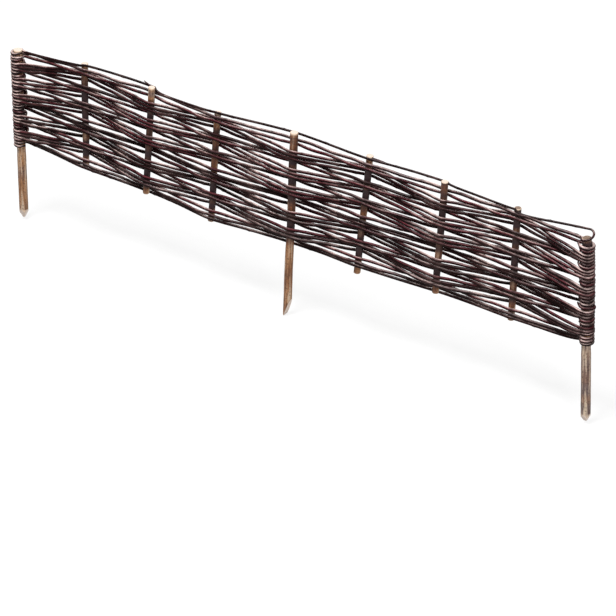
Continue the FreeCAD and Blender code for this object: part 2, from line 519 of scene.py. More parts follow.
@dataclass(frozen=True)
class PaleStudioFloor:
    """Matt white studio floor: white to the eye, greyer as a reflector, with the shadow kept."""

    name: str = "studio_floor_matt_white"
    seen: str = "#ffffff"
    bounced: str = "#a8a8a8"
    lift: float = 0.8

    def build(self) -> bpy.types.Material:
        """Make the material.

        Returns:
            The floor, white to the camera and grey to the light that it throws back.
        """
        material, tree, output = new_material(self.name)
        path = add_node(tree, "ShaderNodeLightPath").outputs
        seen_or_glossy = add_node(
            tree, "ShaderNodeMath", {"operation": "MAXIMUM"},
            links={0: path["Is Camera Ray"], 1: path["Is Glossy Ray"]},
        ).outputs["Value"]
        direct = add_node(
            tree, "ShaderNodeMath", {"operation": "MAXIMUM"},
            links={0: seen_or_glossy, 1: path["Is Transmission Ray"]},
        ).outputs["Value"]
        bounced = add_node(
            tree, "ShaderNodeBsdfDiffuse", inputs={"Color": linear(self.bounced)},
        ).outputs["BSDF"]
        lit = add_node(
            tree, "ShaderNodeBsdfDiffuse", inputs={"Color": linear(self.seen)},
        ).outputs["BSDF"]
        white = add_node(
            tree, "ShaderNodeEmission", inputs={"Color": linear(self.seen), "Strength": 1.0},
        ).outputs["Emission"]
        seen = add_node(
            tree, "ShaderNodeMixShader", inputs={"Fac": self.lift}, links={1: lit, 2: white},
        ).outputs["Shader"]
        surface = add_node(
            tree, "ShaderNodeMixShader", links={"Fac": direct, 1: bounced, 2: seen},
        ).outputs["Shader"]
        tree.links.new(surface, output.inputs["Surface"])
        return material


@dataclass
class StickMesh:
    """A stick's skin as rings of points along its line, with a cut face at each end."""

    sides: int
    points: list[Vector] = field(default_factory=list)
    marks: dict[str, list[float]] = field(default_factory=dict)
    runs: list[float] = field(default_factory=list)
    girth: float = 0.0

    def add_ring(
        self, centre: Vector, side: Vector, up: Vector, radii: list[float], run: float,
        marks: dict[str, list[float]],
    ) -> None:
        """Add one ring of skin.

        Args:
            centre: the ring's middle on the stick's line.
            side: direction of the ring's first point.
            up: direction a quarter turn on from side.
            radii: the skin's distance from the middle, one for each side.
            run: length along the stick.
            marks: what the bark shows at each point, by name.
        """
        for number, radius in enumerate(radii):
            angle = 2 * math.pi * number / self.sides
            self.points.append(centre + (side * math.cos(angle) + up * math.sin(angle)) * radius)
        for name, values in marks.items():
            self.marks.setdefault(name, []).extend(values)
        self.runs.append(run)
        self.girth = max(self.girth, 2 * math.pi * sum(radii) / self.sides)

    def build(self, name: str, materials: list[bpy.types.Material]) -> bpy.types.Object:
        """Make the mesh object.

        Args:
            name: the piece's name.
            materials: the finishes of its slots.

        Returns:
            The stick, with its lengths laid out in metres on its UV map.
        """
        bm = bmesh.new()
        layer = bm.loops.layers.uv.new("UVMap")
        verts = [bm.verts.new(point) for point in self.points]
        for ring in range(len(self.runs) - 1):
            for number in range(self.sides):
                following = (number + 1) % self.sides
                low, high = ring * self.sides, (ring + 1) * self.sides
                corners = [low + number, low + following, high + following, high + number]
                face = bm.faces.new([verts[corner] for corner in corners])
                face.smooth = True
                around = [number, number + 1, number + 1, number]
                runs = [self.runs[ring], self.runs[ring], self.runs[ring + 1], self.runs[ring + 1]]
                for loop, turn, run in zip(face.loops, around, runs):
                    loop[layer].uv = (self.girth * turn / self.sides, run)
        for ring, backwards in ((0, True), (len(self.runs) - 1, False)):
            start = ring * self.sides
            rim = verts[start:start + self.sides]
            face = bm.faces.new(rim[::-1] if backwards else rim)
            lay_cut_face(face, layer, StickSlot.CUT)
        mesh = bpy.data.meshes.new(name)
        bm.to_mesh(mesh)
        bm.free()
        for attribute, values in self.marks.items():
            mesh.attributes.new(attribute, "FLOAT", "POINT").data.foreach_set("value", values)
        for material in materials:
            mesh.materials.append(material)
        piece = bpy.data.objects.new(name, mesh)
        bpy.context.scene.collection.objects.link(piece)
        return piece


def lay_cut_face(
    face: bmesh.types.BMFace, layer: bmesh.types.BMLayerItem, wood: StickSlot,
) -> None:
    """Give a cut face its wood and lay its UVs out round its middle.

    Args:
        face: the cut face.
        layer: the mesh's UV layer.
        wood: the slot of the face's finish.
    """
    face.material_index = wood
    face.normal_update()
    middle = face.calc_center_median()
    first = (face.verts[0].co - middle).normalized()
    second = face.normal.cross(first)
    for loop in face.loops:
        arm = loop.vert.co - middle
        loop[layer].uv = (arm.dot(first), arm.dot(second))


def dress(piece: bpy.types.Object, node: str | None = None) -> bpy.types.Object:
    """Put a piece in its place on the frame.

    Args:
        piece: the finished piece.
        node: the CAD node that it stands for, if it has one.

    Returns:
        The piece.
    """
    if node is not None:
        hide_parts(node)
    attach(piece, "root")
    LOG.info("%s: %d faces", piece.name, len(piece.data.polygons))
    return piece


def smoothstep(low: float, high: float, value: float) -> float:
    """Rise from 0 to 1 between two values, level at both."""
    share = min(max((value - low) / (high - low), 0.0), 1.0)
    return share * share * (3 - 2 * share)


def row_noise(along: float, drift: float, row: NoiseRow) -> float:
    """Read the smooth noise for one trait of a stick."""
    return noise.noise(Vector((along, drift, row.value)))


def ring_frame(line: list[Vector], index: int) -> tuple[Vector, Vector]:
    """Find the directions square to a rod's line at one of its points.

    Args:
        line: points along the middle of the rod.
        index: the point's number.

    Returns:
        The level direction and the upward one.
    """
    ahead = line[min(index + 1, len(line) - 1)] - line[max(index - 1, 0)]
    side = ahead.cross(UP).normalized()
    return side, side.cross(ahead).normalized()


def painted_light_shares(sides: int, shadow_edge: float, full_light: float) -> list[float]:
    """Say how far each point of a ring faces the sky.

    Args:
        sides: points of the ring.
        shadow_edge: height on the ring, from -1 to 1, below which no painted light falls.
        full_light: height above which the painted light falls in full.

    Returns:
        A share from 0 to 1 for each point.
    """
    return [
        smoothstep(shadow_edge, full_light, math.sin(2 * math.pi * number / sides))
        for number in range(sides)
    ]


def bumps(
    spots: list[tuple[float, float, float]], run: float, length: float, spread: float, sides: int,
) -> list[float]:
    """Say how far buds or knots swell each point of a ring.

    Args:
        spots: each bump's place along the stick, its angle and its size.
        run: the ring's place along the stick.
        length: a bump's half length.
        spread: its half width, as an angle.
        sides: points of the ring.

    Returns:
        A share from 0 to 1 for each point.
    """
    marks = [0.0] * sides
    for place, angle, size in spots:
        off = (run - place) / length
        if abs(off) > BUMP_REACH:
            continue
        for number in range(sides):
            turn = 2 * math.pi * number / sides - angle
            turn = math.atan2(math.sin(turn), math.cos(turn)) / spread
            marks[number] = max(marks[number], size * math.exp(-off * off - turn * turn))
    return marks


@dataclass
class WillowRod:
    """One rod: a round stem that tapers from butt to tip, with buds, bends and wrinkled bark."""

    node: str
    seed: int
    tone: RodTone
    butt: ButtEnd
    butt_radius: float
    rank: float = 0.0
    # Strength of the rod's painted light: highlight above, shade below
    painted_light_strength: float = 1.0
    # Offsets that follow the real hurdle's outline: at each stake, in each bay and at the right turn
    lifts: tuple[float, ...] = (0.0,) * 7
    sags: tuple[float, ...] = (0.0,) * 8
    dip: float = 0.0
    stand_off: float = 0.0
    # How the stem narrows, as shares of its thickness
    tip_share: float = 0.86
    tail_share: float = 0.6
    turn_share: float = 0.95
    tail_run: float = 16 * MM
    turn_run: float = 60 * MM
    turn_blend: float = 0.2
    # How it lies at the stakes
    turn_corners: int = 4
    ring_edge: float = 5 * MM
    weld: float = 0.001 * MM
    press: float = 0.55 * MM
    nest: float = 0.8 * MM
    turn_slip: float = 1.0 * MM
    tail_keep: float = 0.45
    tail_tuck: float = 0.85
    spread: float = 1.4 * MM
    spread_range: tuple[float, float] = (0.3, 1.0)
    # How it bends between them
    spring: float = 0.55
    least_bay: float = 32 * MM
    bow: float = 1.2 * MM
    fan: float = 1.9 * MM
    fan_range: tuple[float, float] = (0.4, 1.2)
    crook: float = 0.28 * MM
    crook_length: float = 70 * MM
    # Its skin
    sides: int = 10
    step: float = 2.6 * MM
    turn_step: float = 1.6 * MM
    least_steps: int = 3
    swell: float = 0.05
    ripple: float = 0.03
    ripple_rate: float = 180.0
    ripple_turn: float = 1.7
    bud_spacing: float = 46 * MM
    first_bud: tuple[float, float] = (0.2, 1)
    next_bud: tuple[float, float] = (0.7, 1.3)
    bud_height: float = 0.75 * MM
    bud_length: float = 2.8 * MM
    bud_spread: float = 0.65
    bud_shade: float = 0.7
    tone_drift: float = 0.2
    tone_rate: float = 6.0
    # Painted highlight on the windings at each end, stronger at the left end
    left_turn_highlight: float = 1.0
    right_turn_highlight: float = 0.2
    turn_highlight_range: tuple[float, float] = (0.1, 1.7)
    shadow_edge: float = 0.15
    # Painted light kept at the tails: less highlight and more painted shade where they tuck into the
    # weave
    tail_painted_light: float = 0.4

    def ring_centres(self) -> list[Vector]:
        """Read the corners of the rod's line from its solid.

        The corners of one section are joined by short edges, and the sections by long ones.

        Returns:
            The middles of the sections, from the rod's left tail to its right one.
        """
        bm = bmesh.new()
        bm.from_mesh(frame["nodes"][self.node].data)
        bmesh.ops.remove_doubles(bm, verts=bm.verts, dist=self.weld)
        bm.verts.ensure_lookup_table()
        section: dict[int, int] = {}
        for vert in bm.verts:
            if vert.index in section:
                continue
            number = len(set(section.values()))
            waiting = [vert]
            while waiting:
                corner = waiting.pop()
                section[corner.index] = number
                waiting += [
                    edge.other_vert(corner) for edge in corner.link_edges
                    if edge.calc_length() < self.ring_edge
                    and edge.other_vert(corner).index not in section
                ]
        count = len(set(section.values()))
        members: list[list[Vector]] = [[] for _ in range(count)]
        beside: list[set[int]] = [set() for _ in range(count)]
        for vert in bm.verts:
            members[section[vert.index]].append(vert.co.copy())
        for edge in bm.edges:
            first, second = (section[vert.index] for vert in edge.verts)
            if first != second:
                beside[first].add(second)
                beside[second].add(first)
        bm.free()
        middles = [sum(ring, Vector()) / len(ring) for ring in members]
        ends = [number for number in range(count) if len(beside[number]) == 1]
        order = [min(ends, key=lambda number: middles[number].x)]
        while len(order) < count:
            order += [number for number in beside[order[-1]] if number not in order][:1]
        return [middles[number] for number in order]

    def turn_places(
        self, outer: Vector, corners: list[Vector], inner: Vector,
    ) -> list[tuple[Vector, Vector]]:
        """Give the places and directions of the rod's turn round an end stake.

        Args:
            outer: the point before the turn.
            corners: the turn's corners.
            inner: the point after the turn.

        Returns:
            Pairs of a place on the turn and the rod's direction there.
        """
        reach = (corners[1] - corners[0]).length / 2
        entry = (corners[0] - outer).normalized()
        leave = (inner - corners[-1]).normalized()
        places = [(corners[0] - entry * reach, entry)]
        for start, end in zip(corners, corners[1:]):
            places.append(((start + end) / 2, (end - start).normalized()))
        places.append((corners[-1] + leave * reach, leave))
        axis = (places[0][0] + places[-1][0]) / 2
        pressed = []
        for place, way in places:
            out = Vector((place.x - axis.x, place.y - axis.y, 0)).normalized()
            pressed.append((place - out * self.press / 2, way))
        return pressed

    def places(self) -> list[tuple[Vector, Vector]]:
        """Give the places that the rod passes through, with its direction at each.

        Returns:
            Pairs of a place and a direction: the left tail, the turn, each stake, the other turn
            and the right tail.
        """
        line = self.ring_centres()
        draw = random.Random(self.seed + PLACE_SEED)
        first = 1 + self.turn_corners
        last = len(line) - 1 - self.turn_corners
        left = self.turn_places(line[0], line[1:first], line[first])
        right = self.turn_places(line[last - 1], line[last:-1], line[-1])
        outermost = len(right) // 2
        place, way = right[outermost]
        right[outermost] = (place + Vector((self.stand_off, 0, 0)), way)
        for turn in (left, right):
            slip = Vector((0, 0, draw.uniform(-1, 1) * self.turn_slip))
            turn[:] = [(place + slip, way) for place, way in turn]
        line[0] = left[0][0].lerp(line[0], self.tail_keep)
        line[-1] = right[-1][0].lerp(line[-1], self.tail_keep)
        stakes = line[first + 1:last - 1]
        passes = [(low + high) / 2 for low, high in zip(stakes[::2], stakes[1::2])]
        beyond = [left[-1][0], *passes, right[0][0]]
        route = [(line[0], left[0][1]), *left]
        for before, place, after, lift in zip(beyond, passes, beyond[2:], self.lifts):
            heading = Vector((after.x - before.x, 0, after.z - before.z)).normalized()
            pressed = Vector((place.x, place.y - math.copysign(self.press, place.y), place.z))
            pressed.z += lift + self.rank * self.spread * draw.uniform(*self.spread_range)
            pressed.z -= math.copysign(self.nest, place.y)
            route.append((pressed, heading))
        return [*route, *right, (line[-1], right[-1][1])]

    def bend_in_bay(
        self, point: Vector, bay: int, share: float, bow: Vector, fan: Vector,
    ) -> None:
        """Move a point between two stakes to where the rod's own bends take it.

        Args:
            point: the point on the even bend from stake to stake.
            bay: the number of the bay, from the left.
            share: how far along the bay the point is.
            bow: the rod's bow at the middle of the bay.
            fan: its distance from the other rods of its course beside the stakes.
        """
        point += bow * math.sin(math.pi * share) ** 2
        point += fan * math.sin(2 * math.pi * share) ** 2
        point.z -= self.sags[bay] * math.sin(math.pi * math.sqrt(share))
        if bay == len(self.sags) - 1:
            point.z -= self.dip * math.sin(math.pi * share * share)

    def line(self) -> list[Vector]:
        """Trace the rod's line closely through its places.

        Beside the stakes the rods of a course fan out, and between them each bows a little, as no
        two rods bend alike. The tails are tucked in towards the middle of the weave.

        Returns:
            Points along the middle of the rod.
        """
        draw = random.Random(self.seed)
        route = self.places()
        last = len(route) - 2
        first_bay = self.turn_corners + 1
        traced = []
        for leg, ((start, start_way), (end, end_way)) in enumerate(zip(route, route[1:])):
            chord = (end - start).length
            in_bay = chord > self.least_bay
            pull = chord * (self.spring if in_bay else 1.0)
            step = self.step if in_bay else self.turn_step
            count = max(self.least_steps, math.ceil(chord / step))
            bow = Vector((0, draw.uniform(-1, 1), draw.uniform(-1, 1))) * self.bow
            fan = Vector((0, 0, self.rank * self.fan * draw.uniform(*self.fan_range)))
            for number in range(0 if leg == 0 else 1, count + 1):
                share = number / count
                square, cube = share * share, share ** 3
                point = start * (2 * cube - 3 * square + 1) + end * (3 * square - 2 * cube)
                point += start_way * pull * (cube - 2 * square + share)
                point += end_way * pull * (cube - square)
                if leg in (0, last):
                    out = 1 - share if leg == 0 else share
                    point.y *= 1 - self.tail_tuck * out ** 2
                elif in_bay:
                    self.bend_in_bay(point, leg - first_bay, share, bow, fan)
                traced.append(point)
        return traced

    def buds(self, draw: random.Random, length: float) -> list[tuple[float, float, float]]:
        """Set buds along the rod.

        Args:
            draw: the rod's random draws.
            length: the rod's length.

        Returns:
            Each bud's place along the rod, its angle and its size.
        """
        set_out = []
        place = draw.uniform(*self.first_bud) * self.bud_spacing
        while place < length:
            set_out.append((place, draw.uniform(0, 2 * math.pi), 1.0))
            place += self.bud_spacing * draw.uniform(*self.next_bud)
        return set_out

    def build(self, materials: list[bpy.types.Material]) -> bpy.types.Object:
        """Make the rod.

        Args:
            materials: bark and cut wood.

        Returns:
            The finished rod on its node's place.
        """
        line = self.line()
        runs = [0.0]
        for before, after in zip(line, line[1:]):
            runs.append(runs[-1] + (after - before).length)
        length = runs[-1]
        draw = random.Random(self.seed + SKIN_SEED)
        drift = draw.uniform(*DRIFT_RANGE)
        buds = self.buds(draw, length)
        turn_highlights = [end_highlight * draw.uniform(*self.turn_highlight_range) for end_highlight in (self.left_turn_highlight, self.right_turn_highlight)]
        turn_ends = ((1 - self.turn_blend) * self.turn_run, (1 + self.turn_blend) * self.turn_run)
        stick = StickMesh(self.sides)
        for index, (point, run) in enumerate(zip(line, runs)):
            side, up = ring_frame(line, index)
            along = run / self.crook_length
            from_tail = min(run, length - run)
            tucked = smoothstep(0.0, self.tail_run, from_tail)
            in_weave = smoothstep(*turn_ends, from_tail)
            # Thickness
            from_butt = run / length if self.butt is ButtEnd.LEFT else 1 - run / length
            radius = self.butt_radius * (1 - (1 - self.tip_share) * from_butt)
            radius *= self.tail_share + (1 - self.tail_share) * tucked
            radius *= self.turn_share + (1 - self.turn_share) * in_weave
            radius *= 1 + self.swell * row_noise(along * 2, drift, NoiseRow.ROD_SWELL)
            marks = bumps(buds, run, self.bud_length, self.bud_spread, self.sides)
            radii = []
            for number, mark in enumerate(marks):
                spot = Vector((run * self.ripple_rate, number * self.ripple_turn, drift))
                bare = radius * (1 + self.ripple * noise.noise(spot))
                radii.append(bare + self.bud_height * mark * in_weave)
            # Place
            sway = self.crook * row_noise(along, drift, NoiseRow.ROD_SWAY)
            lift = self.crook * noise.noise(Vector((along, 0.0, drift)))
            # Colour
            tone = self.tone.value
            tone += self.tone_drift * row_noise(run * self.tone_rate, drift, NoiseRow.ROD_TONE)
            # Painted light: a highlight on the upper side and shade below, with more shade in the
            # weave, a wider highlight on the windings and less highlight at the tails
            edge = self.shadow_edge * in_weave - self.shadow_edge * (1 - in_weave)
            rub_and_highlight = 1 + turn_highlights[0 if run < length / 2 else 1] * (1 - in_weave)
            painted_light_strength = (self.tail_painted_light + (1 - self.tail_painted_light) * tucked) * self.painted_light_strength * rub_and_highlight
            stick.add_ring(point + side * sway + up * lift, side, up, radii, run, {
                "tone": [min(max(tone, 0.0), 1.0)] * self.sides,
                "bud": [self.bud_shade * mark * in_weave for mark in marks],
                "painted_light": [painted_light_strength * share for share in painted_light_shares(self.sides, edge, 1.0)],
            })
        return dress(stick.build(f"{self.node}_bark", materials), self.node)


@dataclass
class SideShoot:
    """The tip of a side shoot that springs out of the top of the weave beside a stake."""

    name: str
    stake: str
    base_mm: tuple[float, float, float]
    tip_mm: tuple[float, float, float]
    thick: float = 2.0 * MM
    thin: float = 0.8 * MM
    arch: float = 0.6 * MM
    stake_top: float = 3 * MM
    tone: RodTone = RodTone.PLUM
    # Strength of the shoot's painted light: highlight above, shade below
    painted_light_strength: float = 0.8
    shadow_edge: float = -0.1
    full_light: float = 0.95
    rings: int = 14
    sides: int = 8

    def build(self, materials: list[bpy.types.Material]) -> bpy.types.Object:
        """Make the shoot.

        Args:
            materials: bark and cut wood.

        Returns:
            The finished shoot, riding on the hurdle.
        """
        corners = [vert.co for vert in frame["nodes"][self.stake].data.vertices]
        height = max(corner.z for corner in corners)
        top = [corner for corner in corners if corner.z > height - self.stake_top]
        middle = sum(top, Vector()) / len(top)
        base, tip = Vector(self.base_mm) * MM, Vector(self.tip_mm) * MM
        line = []
        for number in range(self.rings + 1):
            share = number / self.rings
            rise = Vector((0, 0, self.arch * math.sin(math.pi * share)))
            line.append(middle + base.lerp(tip, share) + rise)
        lit = painted_light_shares(self.sides, self.shadow_edge, self.full_light)
        stick = StickMesh(self.sides)
        run = 0.0
        for index, point in enumerate(line):
            side, up = ring_frame(line, index)
            run += (point - line[max(index - 1, 0)]).length
            radius = self.thick + (self.thin - self.thick) * index / self.rings
            stick.add_ring(point, side, up, [radius] * self.sides, run, {
                "tone": [self.tone.value] * self.sides,
                "bud": [0.0] * self.sides,
                "painted_light": [self.painted_light_strength * share for share in lit],
            })
        return dress(stick.build(self.name, materials))


@dataclass
class Weave:
    """The woven part of the hurdle: every rod of every course, and two side shoots."""

    seed: int = 41
    seed_stride: int = 100
    thin: float = 2.9 * MM
    thick: float = 3.3 * MM
    # Painted light strength drawn for each rod, so some rods read paler and some darker
    painted_light_range: tuple[float, float] = (0.7, 1.1)
    tone_shares: tuple[tuple[RodTone, float], ...] = (
        (RodTone.UMBER, 0.3), (RodTone.PLUM, 0.32), (RodTone.RUSSET, 0.2), (RodTone.ASH, 0.18),
    )
    # The thin rod along the top, with its sag in each bay
    top_course: str = "course_14"
    top_radius: float = 2.4 * MM
    # Weaker painted light on the top rod, which reads darker
    top_painted_light: float = 0.6
    top_sags_mm: tuple[float, ...] = (5, -3, 9, 0, 0, 0, 4, 7)
    # Offsets at each stake, the lifts fading from the top down and the drops from the bottom up
    lifts_mm: tuple[float, ...] = (0, 0, 0, 0, 0, 0, 6)
    lift_fade: int = 3
    drops_mm: tuple[float, ...] = (0, 4, 2, 0, 0, 5, 4)
    low_dip: float = 11 * MM
    drop_fade: int = 6
    # Rods that stand clear of the right stake in a loop
    stand_offs: dict[str, float] = field(default_factory=lambda: {
        "course_06_rod_1": 3.2 * MM, "course_09_rod_2": 1.8 * MM,
    })
    # Places from the middle of the stake's top: along the panel, back and up
    shoots: tuple[SideShoot, ...] = field(default_factory=lambda: (
        SideShoot("side_shoot_1", "upright_3", base_mm=(0, 5, -6), tip_mm=(-18, 2, 6.8)),
        SideShoot("side_shoot_2", "upright_6", base_mm=(36, 1, -6.4), tip_mm=(6, -3, -0.6)),
    ))

    def rods(self) -> list[WillowRod]:
        """Choose each rod's colour, thickness and direction.

        Returns:
            The rods, from the lowest course to the highest.
        """
        draw = random.Random(self.seed)
        tones = [tone for tone, _ in self.tone_shares]
        weights = [share for _, share in self.tone_shares]
        chosen = []
        names = sorted(name for name in frame["nodes"] if name.startswith("course_"))
        for number, name in enumerate(names):
            course, place = name.split("_rod_")
            above = sum(other.startswith(course) for other in names) - 1
            rod = WillowRod(
                node=name,
                seed=self.seed * self.seed_stride + number,
                butt_radius=draw.uniform(self.thin, self.thick),
                tone=draw.choices(tones, weights)[0],
                butt=draw.choice(list(ButtEnd)),
                painted_light_strength=draw.uniform(*self.painted_light_range),
                rank=2 * (int(place) - 1) / above - 1 if above else 0.0,
                stand_off=self.stand_offs.get(name, 0.0),
            )
            if course == self.top_course:
                rod.butt_radius = self.top_radius
                rod.tone = RodTone.UMBER
                rod.nest = 0.0
                rod.painted_light_strength = self.top_painted_light
                rod.sags = tuple(sag * MM for sag in self.top_sags_mm)
            else:
                height = (number + 1) / len(names)
                depth = (1 - height) ** self.drop_fade
                rod.lifts = tuple(
                    lift * MM * height ** self.lift_fade - drop * MM * depth
                    for lift, drop in zip(self.lifts_mm, self.drops_mm)
                )
                rod.dip = self.low_dip * depth
            chosen.append(rod)
        return chosen

    def build(self, materials: list[bpy.types.Material]) -> list[bpy.types.Object]:
        """Make every rod and side shoot.

        Args:
            materials: bark and cut wood.

        Returns:
            The rods' objects, then the shoots'.
        """
        return [piece.build(materials) for piece in [*self.rods(), *self.shoots]]


@dataclass(frozen=True)
class Roughness:
    """Smooth noise over a stake's skin: how close it lies round and along the stake, and its share."""

    turn: float
    rate: float
    share: float

    def at(self, angle: float, depth: float, drift: float) -> float:
        """Give the skin's rise at one place."""
        across, back = math.cos(angle) * self.turn, math.sin(angle) * self.turn
        return self.share * noise.noise(Vector((across, back, depth * self.rate + drift)))


@dataclass
class Stake:
    """One upright stick: furrowed bark, knots, a sawn top with a peeled rim and a cut foot."""

    node: str
    seed: int
    foot: StakeFoot
    bare_tone: float
    shaded_woven_tone: float
    old_top: bool
    # Its tones, darker in the weave, as painted shade under the rods, than at the top and below
    top_tone: float = 0.58
    top_run: float = 36 * MM
    top_solid: float = 0.3
    bare_run: float = 24 * MM
    woven_blotch: float = 0.75
    bare_blotch: float = 0.3
    blotch_rate: float = 38.0
    # Its skin
    sides: int = 32
    step: float = 2.0 * MM
    rim: float = 0.9 * MM
    collar: float = 6 * MM
    wander: float = 1.1 * MM
    wander_length: float = 110 * MM
    end_run: float = 30 * MM
    furrow_depth: float = 0.28 * MM
    furrow_sink: float = 0.5
    coarse: Roughness = Roughness(turn=2.2, rate=22.0, share=0.7)
    fine: Roughness = Roughness(turn=6.0, rate=60.0, share=0.5)
    # Its knots
    knot_height: float = 0.8 * MM
    knot_hollow: float = 0.3
    knot_length: float = 5 * MM
    knot_spread: float = 0.55
    knot_shade: float = 0.75
    knot_spacing: float = 62 * MM
    first_knot: tuple[float, float] = (0.3, 0.9)
    next_knot: tuple[float, float] = (0.6, 1.4)
    knot_sizes: tuple[float, float] = (0.5, 1.0)
    # Where its bark has peeled: at the top, at a sawn foot and at a point
    peel_length: float = 7 * MM
    peel_solid: float = 0.25
    peel_shade: float = 0.85
    ragged_mean: float = 0.7
    ragged_drift: float = 0.6
    ragged_row: tuple[float, float] = (4.0, 1.0)
    foot_peel: float = 0.6
    foot_peel_length: float = 3 * MM
    shoulder_blend: float = 1 * MM
    # How its solid is read
    top_reach: float = 20 * MM
    corner_digits: int = 7
    foot_clearance: float = 0.05 * MM
    beside: float = 30 * MM
    skin_slack: float = 0.02 * MM
    ground_slack: float = 1 * MM
    flat_tilts: tuple[float, float] = (0.05, 0.98)
    # What is read from it
    axis: Vector = field(init=False)
    top: Vector = field(init=False)
    length: float = field(init=False)
    weave_foot: float = field(init=False)
    radius: float = field(init=False)
    woven_radius: float = field(init=False)
    ground: float = field(init=False)
    shoulder: float = field(init=False)
    flats: list[tuple[Vector, Vector]] = field(init=False, default_factory=list)

    def __post_init__(self) -> None:
        """Read the stake's axis, thicknesses and point from its solid."""
        mesh = frame["nodes"][self.node].data
        top = max(mesh.polygons, key=lambda face: face.center.z)
        self.axis = top.normal.copy()
        rim = {
            corner for face in mesh.polygons
            if face.normal.dot(self.axis) > SAME_WAY
            and (face.center - top.center).length < self.top_reach
            for corner in face.vertices
        }
        corners = {
            tuple(round(number, self.corner_digits) for number in mesh.vertices[corner].co)
            for corner in rim
        }
        self.top = sum((Vector(corner) for corner in corners), Vector((0, 0, 0))) / len(corners)
        depths = [(self.top - vert.co).dot(self.axis) for vert in mesh.vertices]
        arms = [
            (vert.co - self.top + self.axis * depth).length
            for vert, depth in zip(mesh.vertices, depths)
        ]
        self.length = max(depths) - self.foot_clearance
        lowest_rods = [
            vert.co.z for name, node in frame["nodes"].items() if name.startswith("course_01")
            for vert in node.data.vertices if abs(vert.co.x - self.top.x) < self.beside
        ]
        self.weave_foot = self.top.z - min(lowest_rods)
        self.radius = max(arms)
        self.woven_radius = self.radius
        self.ground = self.length
        self.shoulder = self.length
        if self.foot is StakeFoot.POINTED:
            self.measure_point(list(zip(depths, arms)))

    def measure_point(self, skin: list[tuple[float, float]]) -> None:
        """Read where the driven part of a pointed stake starts and how its point is cut.

        Args:
            skin: the depth below the top and the distance from the axis of the solid's corners.
        """
        self.ground = min(depth for depth, arm in skin if arm > self.radius - self.skin_slack)
        self.woven_radius = max(arm for depth, arm in skin if depth < self.ground - self.ground_slack)
        foot = self.node.split("_")[0] + "_foot"
        mount = next(mount for mount in frame["record"]["mounts"] if mount["name"] == foot)
        self.shoulder = self.ground + mount["dims"]["length_mm"] * MM
        least_tilt, most_tilt = self.flat_tilts
        for face in frame["nodes"][self.node].data.polygons:
            depth = (self.top - face.center).dot(self.axis)
            tilt = -face.normal.dot(self.axis)
            if depth > self.shoulder and least_tilt < tilt < most_tilt:
                if not any(face.normal.dot(normal) > SAME_WAY for _, normal in self.flats):
                    self.flats.append((face.center.copy(), face.normal.copy()))

    def radii_at(self, depth: float, drift: float, marks: list[float]) -> list[float]:
        """Give the skin's distances from the axis at a depth below the top.

        Args:
            depth: the depth.
            drift: where the stake starts on the smooth noise.
            marks: how far knots swell each point.

        Returns:
            A distance for each point of the ring.
        """
        driven = smoothstep(self.ground - self.collar, self.ground + self.collar, depth)
        even = self.woven_radius + (self.radius - self.woven_radius) * driven
        edge = min(depth, self.length - depth)
        broken = self.rim * (1 - min(edge / self.rim, 1.0)) ** 2
        radii = []
        for number, mark in enumerate(marks):
            angle = 2 * math.pi * number / self.sides
            rough = self.coarse.at(angle, depth, drift) + self.fine.at(angle, depth, drift)
            radii.append(
                even - broken + self.furrow_depth * (rough - self.furrow_sink)
                + self.knot_height * (mark - self.knot_hollow * mark ** 2)
            )
        return radii

    def peel_at(self, depth: float, drift: float) -> float:
        """Say how far the bark has peeled at a depth below the top.

        Args:
            depth: the depth.
            drift: where the stake starts on the smooth noise.

        Returns:
            A share from 0 to 1.
        """
        wave = noise.noise(Vector((drift, *self.ragged_row)))
        ragged = self.peel_length * (self.ragged_mean + self.ragged_drift * wave)
        peel = 1 - smoothstep(self.peel_solid * ragged, ragged, depth)
        if self.foot is StakeFoot.SAWN:
            foot = 1 - smoothstep(0.0, self.foot_peel_length, self.length - depth)
            return max(peel, self.foot_peel * foot)
        if len(self.flats) > 1:
            blend = self.shoulder_blend
            return max(peel, smoothstep(self.shoulder - blend, self.shoulder + blend, depth))
        return peel

    def tone_at(self, depth: float, drift: float) -> float:
        """Give the bark's place on its range of tones at a depth below the top.

        Args:
            depth: the depth.
            drift: where the stake starts on the smooth noise.

        Returns:
            A place from 0 to 1.
        """
        bare = smoothstep(self.weave_foot - self.bare_run, self.weave_foot, depth)
        # Painted shade: the bark darkens into the weave, where the rods shade it
        tone = self.shaded_woven_tone + (self.bare_tone - self.shaded_woven_tone) * bare
        tone += self.top_tone * (1 - smoothstep(self.top_solid * self.top_run, self.top_run, depth))
        blotch = self.woven_blotch - (self.woven_blotch - self.bare_blotch) * bare
        tone += blotch * row_noise(depth * self.blotch_rate, drift, NoiseRow.STAKE_TONE)
        return min(max(tone, 0.0), 1.0)

    def knots(self, draw: random.Random) -> list[tuple[float, float, float]]:
        """Set knots along the stake.

        Args:
            draw: the stake's random draws.

        Returns:
            Each knot's depth, angle and size.
        """
        set_out = []
        depth = draw.uniform(*self.first_knot) * self.knot_spacing
        while depth < self.length - self.knot_length * BUMP_REACH:
            angle = draw.uniform(0, 2 * math.pi)
            set_out.append((depth, angle, draw.uniform(*self.knot_sizes)))
            depth += self.knot_spacing * draw.uniform(*self.next_knot)
        return set_out

    def ring_depths(self) -> list[float]:
        """List the depths of the skin's rings.

        Returns:
            Depths below the top, closer together at the broken edges of both ends.
        """
        count = math.ceil(self.length / self.step)
        depths = [0.0, self.rim / 2, self.rim]
        depths += [self.length * number / count for number in range(1, count)]
        depths += [self.length - self.rim, self.length - self.rim / 2, self.length]
        return sorted(depths)

